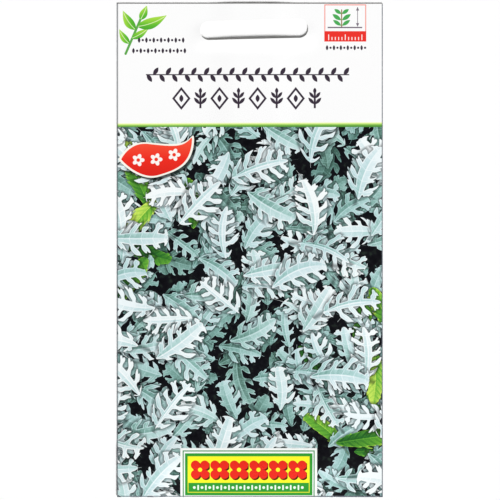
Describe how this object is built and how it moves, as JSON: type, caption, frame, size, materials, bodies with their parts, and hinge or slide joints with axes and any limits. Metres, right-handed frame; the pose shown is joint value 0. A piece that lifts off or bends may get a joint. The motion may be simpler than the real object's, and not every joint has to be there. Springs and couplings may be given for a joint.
{
  "type": "seed packet",
  "caption": "Flat sealed paper seed packet: printed front, folded sides, glued back seam and bottom flap, hang slot punched through the header, loose seeds inside.",
  "frame": {"origin": "on the surface that the packet lies on, under the middle of its back", "axes": "+Y up the packet towards the header, +X to the right as the front is read, +Z out of the printed front"},
  "size_m": [0.08, 0.1485, 0.0019],
  "materials": {
    "coated_paper": "satin",
    "dried_glue": "satin",
    "seed_husk": "matte"
  },
  "bodies": {
    "root": {"packet_paper": "coated_paper", "header_glue_upper": "dried_glue", "header_glue_lower": "dried_glue", "seam_glue": "dried_glue", "flap_glue": "dried_glue", "seed_01": "seed_husk", "seed_02": "seed_husk", "seed_03": "seed_husk", "seed_04": "seed_husk", "seed_05": "seed_husk", "seed_06": "seed_husk", "seed_07": "seed_husk", "seed_08": "seed_husk", "seed_09": "seed_husk", "seed_10": "seed_husk", "seed_11": "seed_husk", "seed_12": "seed_husk", "seed_13": "seed_husk", "seed_14": "seed_husk", "seed_15": "seed_husk", "seed_16": "seed_husk", "seed_17": "seed_husk", "seed_18": "seed_husk", "seed_19": "seed_husk", "seed_20": "seed_husk", "seed_21": "seed_husk", "seed_22": "seed_husk", "seed_23": "seed_husk", "seed_24": "seed_husk", "seed_25": "seed_husk", "seed_26": "seed_husk", "seed_27": "seed_husk", "seed_28": "seed_husk", "seed_29": "seed_husk", "seed_30": "seed_husk", "seed_31": "seed_husk", "seed_32": "seed_husk", "seed_33": "seed_husk", "seed_34": "seed_husk", "seed_35": "seed_husk", "seed_36": "seed_husk", "seed_37": "seed_husk", "seed_38": "seed_husk", "seed_39": "seed_husk", "seed_40": "seed_husk", "seed_41": "seed_husk", "seed_42": "seed_husk", "seed_43": "seed_husk", "seed_44": "seed_husk", "seed_45": "seed_husk", "seed_46": "seed_husk", "seed_47": "seed_husk", "seed_48": "seed_husk", "seed_49": "seed_husk", "seed_50": "seed_husk", "seed_51": "seed_husk", "seed_52": "seed_husk"}
  },
  "joints": []
}
